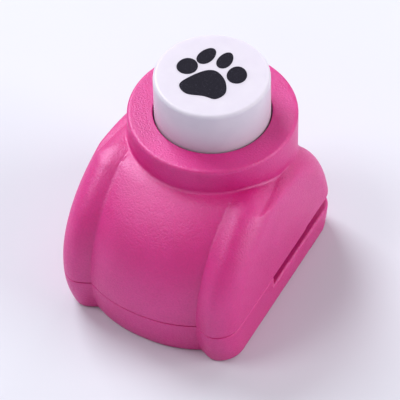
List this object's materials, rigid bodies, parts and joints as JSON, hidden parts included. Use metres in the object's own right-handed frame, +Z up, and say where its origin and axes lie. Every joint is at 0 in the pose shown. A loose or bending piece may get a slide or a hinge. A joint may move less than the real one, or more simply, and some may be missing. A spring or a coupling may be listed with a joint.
{
  "type": "craft punch",
  "caption": "Small palm paper punch: a rounded casing with a collar, a sprung round push button with a paw print, and a thin paper slot above a paw-shaped die.",
  "frame": {"origin": "middle of the bottom face of the overall box", "axes": "+Z up along the button's stroke, +Y towards the side where the paper goes in, +X across the width"},
  "size_m": [0.0262, 0.0328, 0.0316],
  "materials": {
    "pink_plastic": "finely textured moulded plastic, satin",
    "white_plastic": "smooth moulded plastic, slightly translucent",
    "print_ink": "matt printed ink film",
    "zinc_casting": "as-cast zinc alloy",
    "die_steel": "ground steel plate",
    "spring_steel": "drawn spring wire",
    "screw_steel": "bright plated steel"
  },
  "bodies": {
    "casing": {"upper_shell": "pink_plastic", "base_cover": "pink_plastic", "return_spring": "spring_steel", "guide_block": "zinc_casting", "die_spacer": "die_steel", "die_plate": "die_steel", "die_rivet_1": "screw_steel", "die_rivet_2": "screw_steel", "die_dowel_1": "screw_steel", "die_dowel_2": "screw_steel", "base_screw_1": "screw_steel", "base_screw_2": "screw_steel", "base_screw_3": "screw_steel", "guide_screw_1": "screw_steel", "guide_screw_2": "screw_steel", "die_screw_1": "screw_steel", "die_screw_2": "screw_steel"},
    "plunger": {"push_button": "white_plastic", "punch_casting": "zinc_casting"}
  },
  "joints": [
    {"name": "button_press", "type": "slide", "parent": "casing", "child": "plunger", "axis": [0, 0, -1], "range_m": [0, 0.0046], "stiffness_N_per_m": 1200, "springref_m": -0.004, "deforming": ["return_spring"]}
  ]
}
